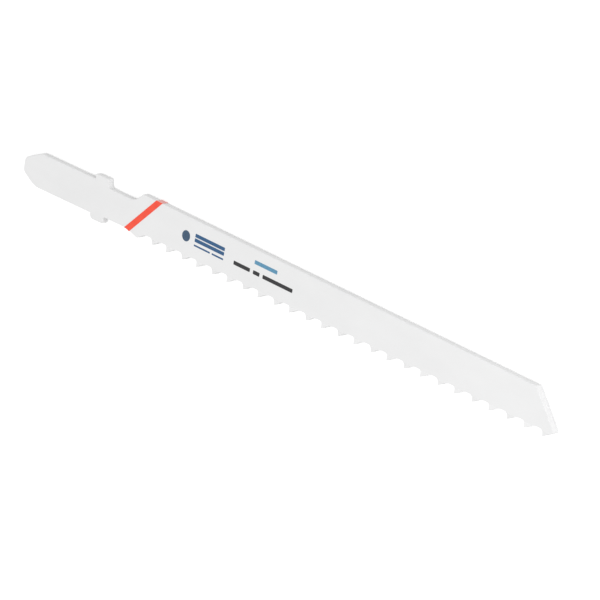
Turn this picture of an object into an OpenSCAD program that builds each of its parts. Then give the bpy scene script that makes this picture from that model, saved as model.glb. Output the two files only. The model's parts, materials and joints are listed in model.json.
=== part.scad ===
// A jigsaw blade: one piece of hardened sheet steel with a two-lugged shank and side-set teeth.
// +X runs from the shank to the tip, the teeth face -Y, and +Z is the face that is looked at.
// The origin is on the shank's axis, level with the blade side of the lugs, on the lower face.

/* [Sheet] */
// Thickness of the steel sheet
sheet_t = 1.25; // [0.9:0.05:2]
// Distance from the shank's axis to the back edge
back_y = 4.5; // [4.2:0.05:5.5]

/* [Teeth] */
// Number of teeth
tooth_count = 26; // [8:1:40]
// Distance from one tooth to the next
tooth_pitch = 3.92; // [3.2:0.02:5]
// Height of a tooth, from the floor of its gullet to its point
tooth_h = 1.2; // [0.8:0.05:1.6]
// Clearance angle behind a tooth's point, in degrees
clearance_angle = 32; // [26:1:40]
// Angle by which a tooth's front leans over its gullet, in degrees
rake_angle = -6; // [-8:1:8]
// Radius where a gullet turns up into the next tooth's front
gullet_r = 0.6; // [0.2:0.05:0.7]
// Radius where a tooth's back turns into its gullet
tooth_back_r = 2.6; // [1:0.1:3]
// Sideways bend of a tooth's point, to each side in turn
tooth_set = 0.15; // [0.05:0.01:0.4]
// Height of the part of a tooth that is bent
bend_h = 1.05; // [0.6:0.05:1.1]
// Width of the blade over the first tooth
first_w = 8.15; // [7.5:0.05:10]
// Width of the blade over the last tooth
last_w = 7.65; // [7:0.05:10]

/* [Tip] */
// How far the back edge ends short of the last tooth
back_short = 3.15; // [1:0.05:5]
// Slope of the cut end, in degrees from square
end_angle = 41.5; // [30:0.5:50]
// Radius on the corners of the cut end
end_r = 0.3; // [0.1:0.05:0.8]

/* [Shank] */
// Angle between the shank and the back edge, in degrees
shank_lean = 0.9; // [0:0.1:2]
// Width of the shank's tongue
tongue_w = 6.5; // [5.6:0.05:7.2]
// Length of the tongue, from its nose to the lugs
tongue_len = 18.9; // [14:0.1:24]
// Width over the two lugs
lug_w = 8.4; // [7.8:0.05:9.4]
// Length of a lug along the shank
lug_len = 3.5; // [2.8:0.05:4.5]
// Radius on the back lug's corner towards the nose
back_seat_r = 0.2; // [0.1:0.05:0.7]
// Radius on the back lug's corner towards the neck
back_lug_r = 0.45; // [0.2:0.05:0.7]
// Radius on the front lug's corner towards the nose
front_seat_r = 0.75; // [0.3:0.05:0.9]
// Radius on the front lug's corner towards the neck
front_lug_r = 0.35; // [0.2:0.05:0.9]

/* [Nose] */
// Flat width at the very end of the tongue
nose_w = 2.6; // [1.6:0.05:3]
// Radius on each corner of the nose
nose_r = 1.1; // [0.5:0.05:1.3]
// Length of the long slope on the nose's back side
nose_back_len = 4.3; // [3.5:0.1:6]
// Length of the rounded slope on the nose's front side
nose_front_len = 3.3; // [3:0.1:6]
// Radius that blends the front slope into the tongue
nose_front_r = 6; // [1:0.5:6]

/* [Neck] */
// Depth of the neck's back hollow below the back edge
neck_back_d = 1.85; // [1.2:0.05:2.4]
// Distance of the neck's front edge from the shank's axis, at the lugs
neck_front_y = 2.95; // [2.4:0.05:3.1]
// How far the neck's front edge draws in on its way to the teeth
neck_draw_in = 0.1; // [0:0.05:0.4]
// Radius where the neck meets the back lug
neck_r = 0.7; // [0.3:0.05:1]
// Radius where the neck meets the front lug
neck_front_r = 0.5; // [0.2:0.05:0.6]
// Distance from the lugs to the corner of the back edge
shoulder_x = 9; // [7.5:0.05:11]
// Steepness of the shoulder at that corner, in degrees
shoulder_angle = 46; // [40:1:65]
// Radius of the hollow below the shoulder
shoulder_r = 3.4; // [1:0.1:3.8]
// Radius on the corner itself
shoulder_top_r = 0.35; // [0.1:0.05:0.5]
// Distance from the lugs to the first tooth
first_tooth_x = 9.2; // [8:0.05:12]
// Length of the slope that leads out to the first tooth
lead_in = 3; // [1.5:0.1:4]
// Radius on the point of the first tooth
first_r = 0.25; // [0.1:0.05:0.5]

/* [Colour band] */
// Where the middle of the band meets the back edge
band_x = 13.3; // [11:0.1:24]
// Width of the painted band, square to its length
band_w = 1.2; // [0.6:0.05:3]
// Slope of the band, in degrees from the back edge
band_angle = 47.5; // [40:0.5:90]
// Thickness of the paint
paint_t = 0.05; // [0.02:0.01:0.1]

/* [Hidden] */
// Steps in each rounded corner
arc_steps = 8;
// Length of the whole shank behind the origin
shank_len = tongue_len + lug_len;
// Length of the row of teeth, point to point
row_len = (tooth_count - 1) * tooth_pitch;
// Slope of the row of teeth against the back edge
row_angle = atan((first_w - last_w) / row_len);
// Point of the first tooth
first_point = [first_tooth_x, back_y - first_w];
// Part of the gullet that lies in front of each tooth, where one bend ends and the next begins
bend_gap = (tooth_pitch - tooth_h / tan(clearance_angle)) / 2;
// Room beyond the solid that a cutting shape needs
spare = 2;

// Unit vector along v
function unit(v) = v / norm(v);

// Point p turned by angle a about the origin
function turned(p, a) = [p.x * cos(a) - p.y * sin(a), p.x * sin(a) + p.y * cos(a)];

// Corner [x, y, radius] of the shank, turned to the shank's lean
function shank_corner(x, y, r) = concat(turned([x, y], shank_lean), r);

// Corner [x, y, radius] given along and across the row of teeth
function row_corner(x, y, r) = concat(first_point + turned([x, y], row_angle), r);

// Points of an arc of radius r that rounds corner b between a and c
function rounded(a, b, c, r) =
    let (u = unit(a - b), v = unit(c - b), half = acos(u * v) / 2,
         centre = b + unit(u + v) * r / sin(half),
         turn = (180 - 2 * half) * sign(cross(u, v)),
         start = b + u * r / tan(half) - centre)
    [for (i = [0 : arc_steps]) centre + turned(start, -turn * i / arc_steps)];

// Closed outline through corners [x, y, radius], with each radius as an arc
function outline(corners) =
    let (n = len(corners), p = [for (c = corners) [c.x, c.y]])
    [for (i = [0 : n - 1])
        each corners[i].z > 0
            ? rounded(p[(i + n - 1) % n], p[i], p[(i + 1) % n], corners[i].z)
            : [p[i]]];

// Tongue, lugs and the seats behind them, from the front lug round the nose to the back lug
function shank_corners() = [
    shank_corner(0, -lug_w / 2, front_lug_r),
    shank_corner(-lug_len, -lug_w / 2, front_seat_r),
    shank_corner(-lug_len, -tongue_w / 2, 0),
    shank_corner(nose_front_len - shank_len, -tongue_w / 2, nose_front_r),
    shank_corner(-shank_len, -nose_w / 2, nose_r),
    shank_corner(-shank_len, nose_w / 2, nose_r),
    shank_corner(nose_back_len - shank_len, tongue_w / 2, 0),
    shank_corner(-lug_len, tongue_w / 2, 0),
    shank_corner(-lug_len, lug_w / 2, back_seat_r),
    shank_corner(0, lug_w / 2, back_lug_r)
];

// Hollow of the neck, the shoulder, the back edge and the cut end
function back_corners() =
    let (floor_y = back_y - neck_back_d,
         last = first_point + turned([row_len, 0], row_angle),
         corner_x = last.x - back_short,
         slope = tan(end_angle), rise = tan(clearance_angle + row_angle),
         end_x = (corner_x + (back_y - last.y) * slope + last.x * rise * slope) / (1 + rise * slope))
    [[0, floor_y, neck_r],
     [shoulder_x - neck_back_d / tan(shoulder_angle), floor_y, shoulder_r],
     [shoulder_x, back_y, shoulder_top_r],
     [corner_x, back_y, end_r],
     [end_x, last.y + (end_x - last.x) * rise, end_r]];

// Teeth from the last to the first: the point, its gullet in front and the back of the tooth before
function tooth_corners() = [
    for (k = [tooth_count - 1 : -1 : 1])
        each [row_corner(k * tooth_pitch, 0, 0),
              row_corner(k * tooth_pitch + tooth_h * tan(rake_angle), tooth_h, gullet_r),
              row_corner((k - 1) * tooth_pitch + tooth_h / tan(clearance_angle), tooth_h, tooth_back_r)],
    concat(first_point, first_r)
];

// Front edge of the neck
function neck_corners() = [
    [first_tooth_x - lead_in, neck_draw_in - neck_front_y, 1],
    [0, -neck_front_y, neck_front_r]
];

// The blade seen from its face
module blade_plan() {
    polygon(outline(concat(shank_corners(), back_corners(), tooth_corners(), neck_corners())));
}

// A stretch of sheet along the row of teeth, from x to x + length, bent sideways from the bend
// line outwards so that it lies off by side at the tooth points
module sheet_strip(x, length, side) {
    slope = side / bend_h;
    reach = bend_h + spare;
    translate([x, 0, 0])
        rotate([90, 0, 90])
            linear_extrude(length)
                polygon([[bend_h, 0], [bend_h, sheet_t],
                         [-spare, sheet_t + slope * reach], [-spare, slope * reach]]);
}

// The sheet that the outline is cut from, with every tooth but the first bent to its side
module set_sheet() {
    translate(concat(first_point, 0))
        rotate([0, 0, row_angle]) {
            translate([-shank_len - first_tooth_x - spare, bend_h, 0])
                cube([shank_len + first_tooth_x + row_len + first_w + 2 * spare, first_w + spare, sheet_t]);
            sheet_strip(-shank_len - first_tooth_x - spare,
                        shank_len + first_tooth_x + spare + tooth_pitch - bend_gap, 0);
            for (k = [1 : tooth_count - 1])
                sheet_strip(k * tooth_pitch - bend_gap, tooth_pitch, k % 2 == 0 ? tooth_set : -tooth_set);
        }
}

// The blade: its outline punched through the bent sheet
module blade() {
    color("whitesmoke")
        intersection() {
            translate([0, 0, -spare])
                linear_extrude(sheet_t + 2 * spare)
                    blade_plan();
            set_sheet();
        }
}

// The slanted stripe that the band follows, seen from the face
module band_stripe() {
    translate([band_x, back_y])
        rotate(band_angle)
            translate([-first_w - band_x, -band_w / 2])
                square([first_w + band_x + spare, band_w]);
}

// Coat of paint round the blade, on both faces and both edges
module colour_band() {
    color("tomato")
        difference() {
            translate([0, 0, -paint_t])
                linear_extrude(sheet_t + 2 * paint_t)
                    intersection() {
                        offset(delta = paint_t) blade_plan();
                        band_stripe();
                    }
            linear_extrude(sheet_t)
                blade_plan();
        }
}

blade();
colour_band();
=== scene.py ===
"""Jigsaw blade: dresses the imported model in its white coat, red band and printed marks.

The frame is the part's own: +X runs from the shank to the tip, the teeth face -Y and +Z is the
face that is looked at. All lengths are in metres.
"""

import json
import logging
import math
from dataclasses import dataclass, field
from enum import Enum

import bmesh
import bpy
from mathutils import Matrix, Vector

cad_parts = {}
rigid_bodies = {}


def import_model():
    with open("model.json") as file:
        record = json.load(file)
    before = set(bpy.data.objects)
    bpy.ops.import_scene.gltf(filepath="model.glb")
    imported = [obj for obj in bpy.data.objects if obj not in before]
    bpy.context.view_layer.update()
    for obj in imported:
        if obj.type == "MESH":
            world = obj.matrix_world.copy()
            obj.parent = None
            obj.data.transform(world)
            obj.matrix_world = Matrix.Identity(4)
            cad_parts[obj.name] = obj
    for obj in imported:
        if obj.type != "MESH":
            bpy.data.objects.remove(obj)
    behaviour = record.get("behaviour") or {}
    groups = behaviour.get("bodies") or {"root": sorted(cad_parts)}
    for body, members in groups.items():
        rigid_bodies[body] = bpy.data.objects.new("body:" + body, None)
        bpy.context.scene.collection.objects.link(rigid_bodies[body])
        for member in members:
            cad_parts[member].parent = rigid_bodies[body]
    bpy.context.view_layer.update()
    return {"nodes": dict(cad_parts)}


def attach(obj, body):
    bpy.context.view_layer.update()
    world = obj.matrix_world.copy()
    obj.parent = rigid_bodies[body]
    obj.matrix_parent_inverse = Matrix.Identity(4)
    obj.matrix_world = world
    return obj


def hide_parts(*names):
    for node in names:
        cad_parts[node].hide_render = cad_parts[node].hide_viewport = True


log = logging.getLogger("jigsaw_blade")

MM = 0.001
# A colour in linear light
Colour = tuple[float, float, float]
# Strength against how level the surface lies, on the cut edges and on their eased corners
CUT_EDGES = ((0.25, 1.0), (0.75, 0.0))
EASED_CORNERS = ((0.15, 0.0), (0.24, 1.0), (0.970, 1.0), (0.985, 0.0))
WHITE = (1.0, 1.0, 1.0, 1.0)


class Ink(Enum):
    """Colours of the printed marks, in linear light."""

    DARK_BLUE = (0.030, 0.072, 0.135)
    BLUE = (0.016, 0.085, 0.205)
    LIGHT_BLUE = (0.095, 0.270, 0.420)
    BLACK = (0.012, 0.012, 0.014)


@dataclass(frozen=True)
class Pattern:
    """A noise pattern, with the bump that it raises where it raises one.

    Attributes:
        scale: cells per metre.
        stretch: how much finer it runs along each axis.
        detail: octaves of finer pattern.
        height: height of its bump in metres.
        strength: how strongly the bump shows.
    """

    scale: float
    stretch: tuple[float, float, float] = (1.0, 1.0, 1.0)
    detail: float = 2.0
    height: float = 0.0
    strength: float = 0.0


class Nodes:
    """Thin helper that wires shader nodes of one material."""

    def __init__(self, material: bpy.types.Material) -> None:
        """Clears the material's tree and adds its output and surface shader.

        Args:
            material: the material whose nodes are made.
        """
        material.use_nodes = True
        self.tree = material.node_tree
        self.tree.nodes.clear()
        self.output = self.add("ShaderNodeOutputMaterial")
        self.shader = self.add("ShaderNodeBsdfPrincipled")
        self.link(self.shader, "BSDF", self.output, "Surface")

    def add(self, kind: str, **values: object) -> bpy.types.Node:
        """Adds a node and sets its attributes.

        Args:
            kind: the node's type name.
            values: attributes to set on it.

        Returns:
            The new node.
        """
        node = self.tree.nodes.new(kind)
        for name, value in values.items():
            setattr(node, name, value)
        return node

    def link(self, source: bpy.types.Node, out: str, target: bpy.types.Node, into: str) -> None:
        """Links an output socket to an input socket, both by name."""
        self.tree.links.new(source.outputs[out], target.inputs[into])

    def noise(self, pattern: Pattern) -> bpy.types.Node:
        """Adds a noise pattern on object coordinates.

        Args:
            pattern: its scale, stretch and detail.

        Returns:
            The noise node.
        """
        place = self.add("ShaderNodeTexCoord")
        mapping = self.add("ShaderNodeMapping")
        mapping.inputs["Scale"].default_value = pattern.stretch
        noise = self.add("ShaderNodeTexNoise")
        noise.inputs["Scale"].default_value = pattern.scale
        noise.inputs["Detail"].default_value = pattern.detail
        self.link(place, "Object", mapping, "Vector")
        self.link(mapping, "Vector", noise, "Vector")
        return noise

    def ramp(self, source: bpy.types.Node, low: Colour, high: Colour,
             span: tuple[float, float]) -> bpy.types.Node:
        """Adds a ramp from one colour to another.

        Args:
            source: node with a Fac output.
            low: colour at the start of the span.
            high: colour at the end of the span.
            span: where on the pattern's 0 to 1 the two colours stand.

        Returns:
            The ramp node.
        """
        ramp = self.add("ShaderNodeValToRGB")
        first, last = ramp.color_ramp.elements
        first.position, last.position = span
        first.color = (*low, 1.0)
        last.color = (*high, 1.0)
        self.link(source, "Fac", ramp, "Fac")
        return ramp

    def bump(self, source: bpy.types.Node, pattern: Pattern,
             below: bpy.types.Node | None = None) -> bpy.types.Node:
        """Adds a bump on the surface shader from a pattern.

        Args:
            source: the pattern's own node, with a Fac output.
            pattern: the bump's height and strength.
            below: an earlier bump that this one lies on.

        Returns:
            The bump node.
        """
        bump = self.add("ShaderNodeBump")
        bump.inputs["Distance"].default_value = pattern.height
        bump.inputs["Strength"].default_value = pattern.strength
        self.link(source, "Fac", bump, "Height")
        if below:
            self.link(below, "Normal", bump, "Normal")
        self.link(bump, "Normal", self.shader, "Normal")
        return bump

    def level(self) -> bpy.types.Node:
        """Adds how level the surface lies: 1 on the sheet's two faces and 0 on its cut edges.

        Returns:
            The node whose Value output it is.
        """
        place = self.add("ShaderNodeTexCoord")
        split = self.add("ShaderNodeSeparateXYZ")
        self.link(place, "Normal", split, "Vector")
        level = self.add("ShaderNodeMath", operation="ABSOLUTE")
        self.link(split, "Z", level, "Value")
        return level

    def mask(self, stops: tuple[tuple[float, float], ...]) -> bpy.types.Node:
        """Adds a mask that depends on how level the surface lies.

        Args:
            stops: pairs of a level and the mask's strength there, in rising order.

        Returns:
            The node whose Color output is the mask.
        """
        ramp = self.add("ShaderNodeValToRGB")
        knots = ramp.color_ramp.elements
        while len(knots) < len(stops):
            knots.new(1.0)
        for knot, (place, strength) in zip(knots, stops):
            knot.position = place
            knot.color = (strength, strength, strength, 1.0)
        self.link(self.level(), "Value", ramp, "Fac")
        return ramp

    def blend(self, mask: bpy.types.Node, base: bpy.types.Node, over: Colour,
              share: float) -> bpy.types.Node:
        """Mixes a plain colour over another where a mask says so.

        Args:
            mask: node with a Color output.
            base: node with a Color output.
            over: the colour that is mixed in.
            share: how much of it shows where the mask is 1.

        Returns:
            The mix node, whose Color output is the blend.
        """
        amount = self.add("ShaderNodeMath", operation="MULTIPLY")
        amount.inputs[1].default_value = share
        self.link(mask, "Color", amount, "Value")
        mix = self.add("ShaderNodeMixRGB", blend_type="MIX")
        mix.inputs["Color2"].default_value = (*over, 1.0)
        self.link(amount, "Value", mix, "Fac")
        self.link(base, "Color", mix, "Color1")
        return mix


@dataclass(frozen=True)
class WhiteCoat:
    """Thin white lacquer over ground steel: satin, with faint grinding lines under it.

    Attributes:
        light: the coat where it is full.
        shade: the coat where the steel shows through a little.
        clouds: the patches of thinner coat.
        cloud_span: where on the clouds' 0 to 1 the shade and the light stand.
        painted_edge_shade: painted shade, a darker grey mixed in on the sheet's upright cut edges.
        painted_edge_shade_share: how much of that shows.
        painted_rim_shade: painted shade, a dark grey mixed in on the eased corners as a thin dark rim round
            the outline.
        painted_rim_shade_share: how much of that shows.
        lines: the grinding lines, which run along the blade.
        peel: the lacquer's own unevenness.
        roughness: how matt it is.
        specular: how strongly it reflects.
        gloss: weight of the clear film on top.
        gloss_roughness: how matt that film is.
    """

    light: Colour = (0.850, 0.850, 0.851)
    shade: Colour = (0.826, 0.826, 0.828)
    clouds: Pattern = Pattern(scale=260.0, stretch=(0.5, 1.0, 1.0), detail=3.0)
    cloud_span: tuple[float, float] = (0.30, 0.70)
    # Painted shade: a darker grey mixed in on the upright cut edges.
    painted_edge_shade: Colour = (0.600, 0.600, 0.604)
    painted_edge_shade_share: float = 0.12
    # Painted shade: a dark grey mixed in on the eased corners, drawing a thin dark rim round the outline.
    painted_rim_shade: Colour = (0.480, 0.480, 0.486)
    painted_rim_shade_share: float = 0.14
    lines: Pattern = Pattern(scale=5200.0, stretch=(0.04, 1.0, 1.0), height=0.000007, strength=0.40)
    peel: Pattern = Pattern(scale=1400.0, height=0.000006, strength=0.25)
    roughness: float = 0.42
    specular: float = 0.45
    gloss: float = 0.15
    gloss_roughness: float = 0.25

    def build(self, name: str) -> bpy.types.Material:
        """Makes the material.

        Args:
            name: the material's name.

        Returns:
            The finished material.
        """
        material = bpy.data.materials.new(name)
        nodes = Nodes(material)
        tone = nodes.ramp(nodes.noise(self.clouds), self.shade, self.light, self.cloud_span)
        # Painted shade: the upright cut edges are mixed towards a darker grey.
        coat = nodes.blend(nodes.mask(CUT_EDGES), tone, self.painted_edge_shade, self.painted_edge_shade_share)
        # Painted shade along the eased corners, as a thin dark rim round the outline.
        coat_with_painted_shade = nodes.blend(nodes.mask(EASED_CORNERS), coat, self.painted_rim_shade, self.painted_rim_shade_share)
        nodes.link(coat_with_painted_shade, "Color", nodes.shader, "Base Color")
        ground = nodes.bump(nodes.noise(self.lines), self.lines)
        nodes.bump(nodes.noise(self.peel), self.peel, ground)
        nodes.shader.inputs["Roughness"].default_value = self.roughness
        nodes.shader.inputs["Specular IOR Level"].default_value = self.specular
        nodes.shader.inputs["Coat Weight"].default_value = self.gloss
        nodes.shader.inputs["Coat Roughness"].default_value = self.gloss_roughness
        return material


@dataclass(frozen=True)
class BandPaint:
    """Opaque orange-red paint, rolled on over the coat.

    Attributes:
        light: the paint where it is full.
        shade: the paint where it pooled.
        clouds: how the two are spread.
        cloud_span: where on the clouds' 0 to 1 the shade and the light stand.
        thin: the paint where it ran thin over the sheet's cut edges.
        thin_share: how much of that shows.
        grain: the roller's marks.
        roughness: how matt it is.
        specular: how strongly it reflects.
    """

    light: Colour = (0.960, 0.088, 0.042)
    shade: Colour = (0.900, 0.068, 0.032)
    clouds: Pattern = Pattern(scale=900.0, detail=3.0)
    cloud_span: tuple[float, float] = (0.35, 0.65)
    thin: Colour = (0.820, 0.520, 0.500)
    thin_share: float = 0.75
    grain: Pattern = Pattern(scale=2600.0, height=0.000008, strength=0.3)
    roughness: float = 0.38
    specular: float = 0.4

    def build(self, name: str) -> bpy.types.Material:
        """Makes the material.

        Args:
            name: the material's name.

        Returns:
            The finished material.
        """
        material = bpy.data.materials.new(name)
        nodes = Nodes(material)
        tone = nodes.ramp(nodes.noise(self.clouds), self.shade, self.light, self.cloud_span)
        paint = nodes.blend(nodes.mask(CUT_EDGES), tone, self.thin, self.thin_share)
        nodes.link(paint, "Color", nodes.shader, "Base Color")
        nodes.bump(nodes.noise(self.grain), self.grain)
        nodes.shader.inputs["Roughness"].default_value = self.roughness
        nodes.shader.inputs["Specular IOR Level"].default_value = self.specular
        return material


@dataclass(frozen=True)
class PrintInk:
    """Screen-printed ink: matt, with a grain where the screen left less of it.

    Attributes:
        ink: its colour.
        paler: how many times lighter it is where the screen left less.
        bare: what the coat below adds to it there.
        grain: the screen's grain.
        grain_span: where on the grain's 0 to 1 the full and the lighter ink stand.
        roughness: how matt it is.
    """

    ink: Ink
    paler: float = 1.25
    bare: float = 0.012
    grain: Pattern = Pattern(scale=6000.0, height=0.000003, strength=0.3)
    grain_span: tuple[float, float] = (0.45, 0.75)
    roughness: float = 0.55

    def build(self) -> bpy.types.Material:
        """Makes the material, named after its ink.

        Returns:
            The finished material.
        """
        material = bpy.data.materials.new("ink_" + self.ink.name.lower())
        nodes = Nodes(material)
        full = self.ink.value
        light = tuple(min(1.0, part * self.paler + self.bare) for part in full)
        grain = nodes.noise(self.grain)
        tone = nodes.ramp(grain, full, light, self.grain_span)
        nodes.link(tone, "Color", nodes.shader, "Base Color")
        nodes.bump(grain, self.grain)
        nodes.shader.inputs["Roughness"].default_value = self.roughness
        return material


@dataclass
class EasedBlade:
    """Copy of the blade with its punched outline eased, as tumbling and lacquer leave it.

    Attributes:
        ease: width of the eased edge.
        ease_steps: faces across it.
        merge: distance under which the CAD mesh's points are one.
        flat_under: angle under which two faces are one.
        crease_over: angle from which an edge between cut faces stays a crease.
        first_point: the first tooth's point.
        last_point: the last tooth's point.
        tooth_reach: how far up from the points an edge still counts as a tooth's and stays sharp.
        tooth_start: how far before the first point the row of teeth begins.
        sharp_from: angle from which an edge is eased.
        upright: share of an edge's length along Z from which it crosses the sheet and isn't eased.
        walled: how level a face may lie and still be a cut one.
    """

    ease: float = 0.14 * MM
    ease_steps: int = 3
    merge: float = 0.001 * MM
    flat_under: float = math.radians(0.4)
    crease_over: float = math.radians(14.0)
    first_point: tuple[float, float] = (9.20 * MM, -3.65 * MM)
    last_point: tuple[float, float] = (107.20 * MM, -3.15 * MM)
    tooth_reach: float = 1.45 * MM
    tooth_start: float = 1.0 * MM
    sharp_from: float = math.radians(55.0)
    upright: float = 0.9
    walled: float = 0.1

    def on_teeth(self, point: Vector) -> bool:
        """Says whether a point of the outline belongs to the row of teeth.

        Args:
            point: the point, in metres.

        Returns:
            True on the teeth.
        """
        slope = (self.last_point[1] - self.first_point[1]) / (self.last_point[0] - self.first_point[0])
        row = self.first_point[1] + (point.x - self.first_point[0]) * slope
        return point.x > self.first_point[0] - self.tooth_start and point.y < row + self.tooth_reach

    def pick(self, piece: bpy.types.Object) -> int:
        """Selects the edges of both faces' outlines, apart from the teeth's.

        Args:
            piece: the blade's copy, in edit mode.

        Returns:
            How many edges are selected.
        """
        mesh = bmesh.from_edit_mesh(piece.data)
        count = 0
        for edge in mesh.edges:
            run = edge.verts[1].co - edge.verts[0].co
            flat = abs(run.z) < self.upright * run.length
            sharp = len(edge.link_faces) == 2 and edge.calc_face_angle(0.0) > self.sharp_from
            middle = (edge.verts[0].co + edge.verts[1].co) / 2
            wanted = flat and sharp and not self.on_teeth(middle)
            edge.select_set(wanted)
            count += wanted
        bmesh.update_edit_mesh(piece.data)
        return count

    def build(self, node: bpy.types.Object) -> bpy.types.Object:
        """Copies the blade, merges the copy and eases its outline.

        Args:
            node: the CAD blade, which stays as it is.

        Returns:
            The eased copy.
        """
        bpy.ops.object.select_all(action="DESELECT")
        node.select_set(True)
        bpy.context.view_layer.objects.active = node
        bpy.ops.object.duplicate(linked=False)
        piece = bpy.context.object
        piece.name = "blade_eased"
        bpy.ops.mesh.customdata_custom_splitnormals_clear()
        bpy.ops.object.mode_set(mode="EDIT")
        bpy.ops.mesh.select_all(action="SELECT")
        bpy.ops.mesh.remove_doubles(threshold=self.merge)
        bpy.ops.mesh.dissolve_limited(angle_limit=self.flat_under)
        bpy.ops.mesh.select_mode(type="EDGE")
        bpy.ops.mesh.select_all(action="DESELECT")
        count = self.pick(piece)
        bpy.ops.transform.edge_bevelweight(value=1.0)
        log.info("%d outline edges eased by %.2f mm", count, self.ease / MM)
        bpy.ops.object.mode_set(mode="OBJECT")
        bevel = piece.modifiers.new("ease", "BEVEL")
        bevel.width = self.ease
        bevel.segments = self.ease_steps
        bevel.limit_method = "WEIGHT"
        bevel.use_clamp_overlap = False
        bpy.ops.object.modifier_apply(modifier=bevel.name)
        self.shade(piece)
        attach(piece, "root")
        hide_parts("blade")
        return piece

    def shade(self, piece: bpy.types.Object) -> None:
        """Smooths the rounded corners of the cut edges and leaves the two faces flat.

        Args:
            piece: the eased copy, in object mode.
        """
        bpy.ops.object.mode_set(mode="EDIT")
        bpy.ops.mesh.select_mode(type="FACE")
        bpy.ops.mesh.select_all(action="DESELECT")
        mesh = bmesh.from_edit_mesh(piece.data)
        for face in mesh.faces:
            face.select_set(abs(face.normal.z) < self.walled)
        bmesh.update_edit_mesh(piece.data)
        bpy.ops.mesh.faces_shade_smooth()
        bpy.ops.mesh.select_mode(type="EDGE")
        bpy.ops.mesh.select_all(action="DESELECT")
        bpy.ops.mesh.edges_select_sharp(sharpness=self.crease_over)
        bpy.ops.mesh.mark_sharp()
        bpy.ops.object.mode_set(mode="OBJECT")


@dataclass(frozen=True)
class Mark:
    """A plain bar or dot of ink on the face.

    Attributes:
        name: the piece's name.
        ink: its colour.
        start: lowest X and Y.
        end: highest X and Y.
        corner: radius of its corners, as wide as half a side for a dot.
    """

    name: str
    ink: Ink
    start: tuple[float, float]
    end: tuple[float, float]
    corner: float


@dataclass
class PrintedMarks:
    """The printed fields on the visible face: a dot, stripes and dashes.

    Attributes:
        face_z: height of the blade's face.
        thickness: thickness of the ink.
        corner_steps: edges in each rounded corner.
        marks: the fields, each a bar or a dot.
    """

    face_z: float = 1.25 * MM
    thickness: float = 0.012 * MM
    corner_steps: int = 8
    marks: tuple[Mark, ...] = (
        Mark("print_dot", Ink.DARK_BLUE, (20.15 * MM, -0.05 * MM), (22.15 * MM, 1.95 * MM), 0.999 * MM),
        Mark("print_stripe_upper", Ink.BLUE, (23.4 * MM, 1.50 * MM), (30.9 * MM, 2.15 * MM), 0.10 * MM),
        Mark("print_stripe_lower", Ink.BLUE, (23.4 * MM, 0.65 * MM), (30.9 * MM, 1.30 * MM), 0.10 * MM),
        Mark("print_dash_long", Ink.BLUE, (23.4 * MM, -0.15 * MM), (27.5 * MM, 0.15 * MM), 0.08 * MM),
        Mark("print_dash_short", Ink.BLUE, (28.0 * MM, -0.15 * MM), (30.9 * MM, 0.15 * MM), 0.08 * MM),
        Mark("print_light_dash", Ink.LIGHT_BLUE, (38.4 * MM, 1.90 * MM), (44.0 * MM, 2.60 * MM), 0.12 * MM),
        Mark("print_black_first", Ink.BLACK, (33.5 * MM, 0.05 * MM), (37.6 * MM, 0.75 * MM), 0.12 * MM),
        Mark("print_black_middle", Ink.BLACK, (38.4 * MM, 0.05 * MM), (40.0 * MM, 0.75 * MM), 0.12 * MM),
        Mark("print_black_last", Ink.BLACK, (40.8 * MM, 0.05 * MM), (48.2 * MM, 0.75 * MM), 0.12 * MM),
    )

    def bar(self, mark: Mark) -> bpy.types.Object:
        """Models one mark: a plane stretched to size, its corners rounded, then given its thickness.

        Args:
            mark: the mark's size and place.

        Returns:
            The mark's object.
        """
        centre = ((mark.start[0] + mark.end[0]) / 2, (mark.start[1] + mark.end[1]) / 2, self.face_z)
        bpy.ops.mesh.primitive_plane_add(size=1.0, location=centre)
        piece = bpy.context.object
        piece.name = mark.name
        piece.scale = (mark.end[0] - mark.start[0], mark.end[1] - mark.start[1], 1.0)
        bpy.ops.object.transform_apply(location=True, rotation=True, scale=True)
        bpy.ops.object.mode_set(mode="EDIT")
        bpy.ops.mesh.select_all(action="SELECT")
        bpy.ops.mesh.bevel(offset=mark.corner, segments=self.corner_steps, affect="VERTICES")
        bpy.ops.object.mode_set(mode="OBJECT")
        film = piece.modifiers.new("film", "SOLIDIFY")
        film.thickness = self.thickness
        film.offset = 1.0
        bpy.ops.object.modifier_apply(modifier=film.name)
        return piece

    def build(self) -> list[bpy.types.Object]:
        """Models every mark and gives it its ink.

        Returns:
            The marks' objects.
        """
        pieces = []
        inks = {ink: PrintInk(ink).build() for ink in Ink}
        for mark in self.marks:
            bpy.ops.object.select_all(action="DESELECT")
            piece = self.bar(mark)
            piece.data.materials.append(inks[mark.ink])
            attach(piece, "root")
            pieces.append(piece)
        return pieces


@dataclass(frozen=True)
class Lamp:
    """A square soft light.

    Attributes:
        name: its name.
        place: where it stands.
        size: length of its side.
        power: its strength in watts.
    """

    name: str
    place: tuple[float, float, float]
    size: float
    power: float


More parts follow.
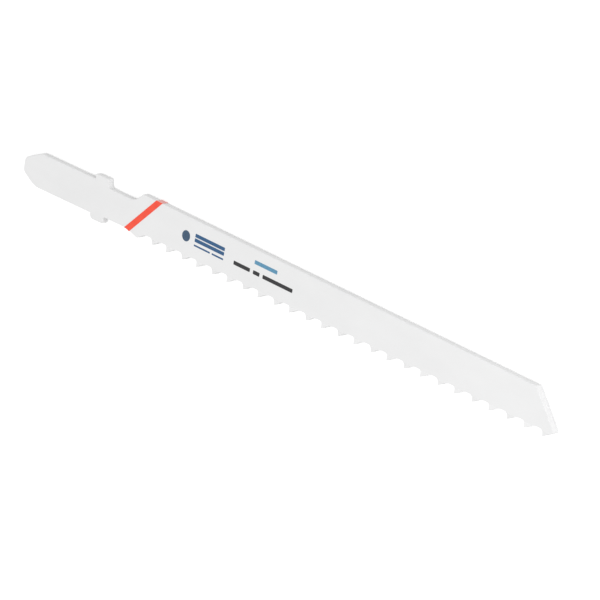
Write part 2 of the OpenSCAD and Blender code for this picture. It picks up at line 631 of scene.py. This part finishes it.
@dataclass
class Studio:
    """Pale floor, soft light and the camera.

    Attributes:
        eye: where the camera stands.
        right: the image's right in the part's axes.
        up: the image's up in the part's axes.
        nudge: how far the camera is set off to the left and up.
        lens_mm: focal length.
        sensor_mm: width of the sensor.
        nearest: distance from which the camera sees.
        farthest: distance up to which it sees.
        lamps: the soft lights.
        aim: what they face.
        fill: strength of the even light from all round.
        floor_z: height of the floor.
        floor_size: length of its side.
        floor_x: where its middle lies along the blade.
        floor_tone: its colour.
        floor_lift: how much whiter it looks to the camera.
    """

    eye: Vector = field(default_factory=lambda: Vector((461.4274, 201.6935, 460.4782)) * MM)
    right: Vector = field(default_factory=lambda: Vector((0.69360212, 0.17644806, -0.69841405)))
    up: Vector = field(default_factory=lambda: Vector((-0.34262223, 0.93365651, -0.10438168)))
    nudge: float = 0.0886 * MM
    lens_mm: float = 228.0
    sensor_mm: float = 36.0
    nearest: float = 0.01
    farthest: float = 20.0
    lamps: tuple[Lamp, ...] = (
        Lamp("overhead", (0.25, -0.10, 0.80), 0.60, 1.4),
        Lamp("tip_side", (0.402, 0.158, 0.102), 0.15, 0.46),
    )
    aim: tuple[float, float, float] = (0.043, 0.0, 0.0)
    fill: float = 0.76
    floor_z: float = -0.15 * MM
    floor_size: float = 6.0
    floor_x: float = 0.04
    floor_tone: Colour = (0.80, 0.80, 0.80)
    floor_lift: float = 0.40

    def camera(self) -> None:
        """Adds the camera at the photograph's place and angle."""
        data = bpy.data.cameras.new("camera")
        data.lens = self.lens_mm
        data.sensor_width = self.sensor_mm
        data.clip_start = self.nearest
        data.clip_end = self.farthest
        camera = bpy.data.objects.new("camera", data)
        bpy.context.scene.collection.objects.link(camera)
        back = self.right.cross(self.up)
        turn = Matrix((self.right, self.up, back)).transposed().to_4x4()
        place = self.eye - self.right * self.nudge + self.up * self.nudge
        camera.matrix_world = Matrix.Translation(place) @ turn
        bpy.context.scene.camera = camera

    def light(self, lamp: Lamp) -> None:
        """Adds one soft light that faces the middle of the blade.

        Args:
            lamp: its place, size and strength.
        """
        data = bpy.data.lights.new(lamp.name, "AREA")
        data.size = lamp.size
        data.energy = lamp.power
        light = bpy.data.objects.new(lamp.name, data)
        bpy.context.scene.collection.objects.link(light)
        place = Vector(lamp.place)
        light.location = place
        light.rotation_euler = (Vector(self.aim) - place).to_track_quat("-Z", "Y").to_euler()

    def world(self) -> None:
        """Lights the scene evenly, with white behind it for the eye, gloss and glass."""
        world = bpy.data.worlds.new("studio")
        bpy.context.scene.world = world
        world.use_nodes = True
        tree = world.node_tree
        tree.nodes.clear()
        output = tree.nodes.new("ShaderNodeOutputWorld")
        mix = tree.nodes.new("ShaderNodeMixShader")
        fill = tree.nodes.new("ShaderNodeBackground")
        white = tree.nodes.new("ShaderNodeBackground")
        path = tree.nodes.new("ShaderNodeLightPath")
        seen = tree.nodes.new("ShaderNodeMath")
        seen.operation = "MAXIMUM"
        both = tree.nodes.new("ShaderNodeMath")
        both.operation = "MAXIMUM"
        fill.inputs["Color"].default_value = WHITE
        fill.inputs["Strength"].default_value = self.fill
        white.inputs["Color"].default_value = WHITE
        white.inputs["Strength"].default_value = 1.0
        tree.links.new(path.outputs["Is Camera Ray"], seen.inputs[0])
        tree.links.new(path.outputs["Is Glossy Ray"], seen.inputs[1])
        tree.links.new(seen.outputs[0], both.inputs[0])
        tree.links.new(path.outputs["Is Transmission Ray"], both.inputs[1])
        tree.links.new(both.outputs[0], mix.inputs["Fac"])
        tree.links.new(fill.outputs["Background"], mix.inputs[1])
        tree.links.new(white.outputs["Background"], mix.inputs[2])
        tree.links.new(mix.outputs["Shader"], output.inputs["Surface"])

    def floor(self) -> None:
        """Adds a plain white floor that keeps the blade's faint shadow."""
        bpy.ops.object.select_all(action="DESELECT")
        place = (self.floor_x, 0.0, self.floor_z)
        bpy.ops.mesh.primitive_plane_add(size=self.floor_size, location=place)
        floor = bpy.context.object
        floor.name = "floor"
        material = bpy.data.materials.new("white_floor")
        material.use_nodes = True
        tree = material.node_tree
        tree.nodes.clear()
        output = tree.nodes.new("ShaderNodeOutputMaterial")
        total = tree.nodes.new("ShaderNodeAddShader")
        matt = tree.nodes.new("ShaderNodeBsdfDiffuse")
        glow = tree.nodes.new("ShaderNodeEmission")
        path = tree.nodes.new("ShaderNodeLightPath")
        level = tree.nodes.new("ShaderNodeMath")
        level.operation = "MULTIPLY"
        level.inputs[1].default_value = self.floor_lift
        matt.inputs["Color"].default_value = (*self.floor_tone, 1.0)
        glow.inputs["Color"].default_value = WHITE
        tree.links.new(path.outputs["Is Camera Ray"], level.inputs[0])
        tree.links.new(level.outputs[0], glow.inputs["Strength"])
        tree.links.new(matt.outputs["BSDF"], total.inputs[0])
        tree.links.new(glow.outputs["Emission"], total.inputs[1])
        tree.links.new(total.outputs["Shader"], output.inputs["Surface"])
        floor.data.materials.append(material)

    def build(self) -> None:
        """Sets up the camera, the light and the floor."""
        self.camera()
        self.world()
        for lamp in self.lamps:
            self.light(lamp)
        self.floor()
        bpy.context.scene.view_settings.view_transform = "Standard"


def dress(node: bpy.types.Object, material: bpy.types.Material) -> None:
    """Gives a CAD node one material.

    Args:
        node: the node's object.
        material: the material that it takes.
    """
    node.data.materials.clear()
    node.data.materials.append(material)


def main() -> None:
    """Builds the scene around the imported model."""
    logging.basicConfig(level=logging.INFO, format="%(name)s: %(message)s")
    for leftover in list(bpy.data.objects):
        bpy.data.objects.remove(leftover)
    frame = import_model()
    coat = WhiteCoat().build("white_coat")
    dress(frame["nodes"]["blade"], coat)
    blade = EasedBlade().build(frame["nodes"]["blade"])
    log.info("blade: white coat, %d faces", len(blade.data.polygons))
    dress(frame["nodes"]["colour_band"], BandPaint().build("band_paint"))
    log.info("colour_band: red paint")
    for piece in PrintedMarks().build():
        log.info("%s: %d faces", piece.name, len(piece.data.polygons))
    Studio().build()


if __name__ == "__main__":
    main()
